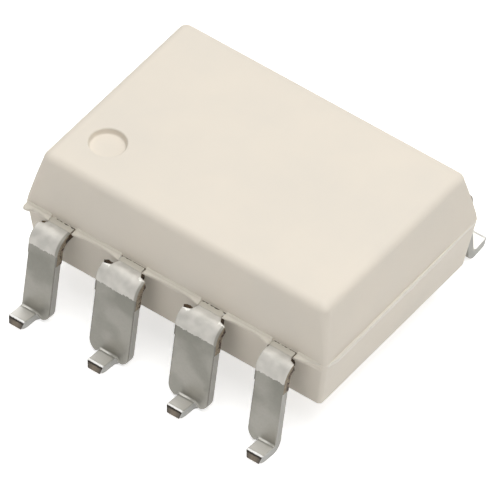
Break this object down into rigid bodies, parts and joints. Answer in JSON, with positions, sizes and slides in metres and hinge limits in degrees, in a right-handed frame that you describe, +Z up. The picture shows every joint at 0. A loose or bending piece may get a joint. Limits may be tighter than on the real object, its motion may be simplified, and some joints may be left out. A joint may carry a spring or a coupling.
{
  "type": "soic chip",
  "caption": "White moulded surface-mount optocoupler chip with gull-wing leads on two sides and a round pin 1 recess in its top.",
  "frame": {"origin": "on the board's surface, under the middle of the body", "axes": "+Z up out of the board, +X along the rows of leads from lead 1 to lead 4, -Y towards leads 1 to 4"},
  "size_m": [0.0098, 0.01, 0.0045],
  "materials": {
    "mould": "fine matt moulded epoxy",
    "plated_lead": "tin-plated copper alloy, satin",
    "led_chip": "sawn gallium arsenide",
    "detector_chip": "polished silicon",
    "die_adhesive": "silver-filled epoxy",
    "gold_wire": "drawn gold",
    "clear_silicone": "clear soft silicone"
  },
  "bodies": {
    "root": {"body": "mould", "lead_1": "plated_lead", "lead_2": "plated_lead", "lead_3": "plated_lead", "lead_4": "plated_lead", "lead_5": "plated_lead", "lead_6": "plated_lead", "lead_7": "plated_lead", "lead_8": "plated_lead", "led_die_1": "led_chip", "led_die_2": "led_chip", "detector_die_1": "detector_chip", "detector_die_2": "detector_chip", "led_attach_1": "die_adhesive", "led_attach_2": "die_adhesive", "detector_attach_1": "die_adhesive", "detector_attach_2": "die_adhesive", "led_wire_1": "gold_wire", "led_wire_2": "gold_wire", "detector_wire_1": "gold_wire", "detector_wire_2": "gold_wire", "light_guide_1": "clear_silicone", "light_guide_2": "clear_silicone"}
  },
  "joints": []
}
